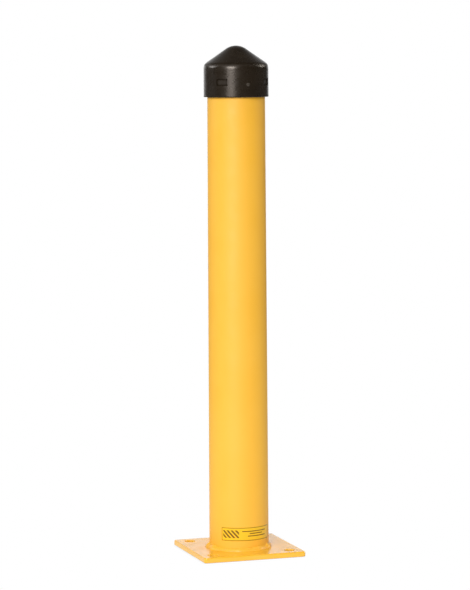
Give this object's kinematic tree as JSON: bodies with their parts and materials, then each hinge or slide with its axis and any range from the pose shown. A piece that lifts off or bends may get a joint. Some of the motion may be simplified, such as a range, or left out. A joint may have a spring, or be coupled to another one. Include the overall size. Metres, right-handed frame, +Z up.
{
  "type": "steel safety bollard",
  "caption": "Steel pipe bollard, powder-coated yellow, welded to a square bolt-down base plate, with a black push-on cap that lifts off.",
  "frame": {"origin": "centre of the underside of the base plate, on the floor", "axes": "+Z up along the post; the plate's sides lie along X and Y, and the label faces -Y"},
  "size_m": [0.2032, 0.2032, 0.9658],
  "materials": {
    "yellow_coat": "smooth safety-yellow powder coat, soft gloss",
    "plate_coat": "glossy safety-yellow powder coat over hot-rolled plate",
    "weld_coat": "yellow powder coat over a hand-laid weld bead",
    "black_plastic": "satin moulded black plastic",
    "label_film": "printed vinyl film, satin"
  },
  "bodies": {
    "post": {"post_tube": "yellow_coat", "base_plate": "plate_coat", "base_weld": "weld_coat", "label": "label_film"},
    "cap": {"top_cap": "black_plastic"}
  },
  "joints": [
    {"name": "cap_lift", "type": "slide", "parent": "post", "child": "cap", "axis": [0, 0, 1], "range_m": [0, 0.08]}
  ]
}
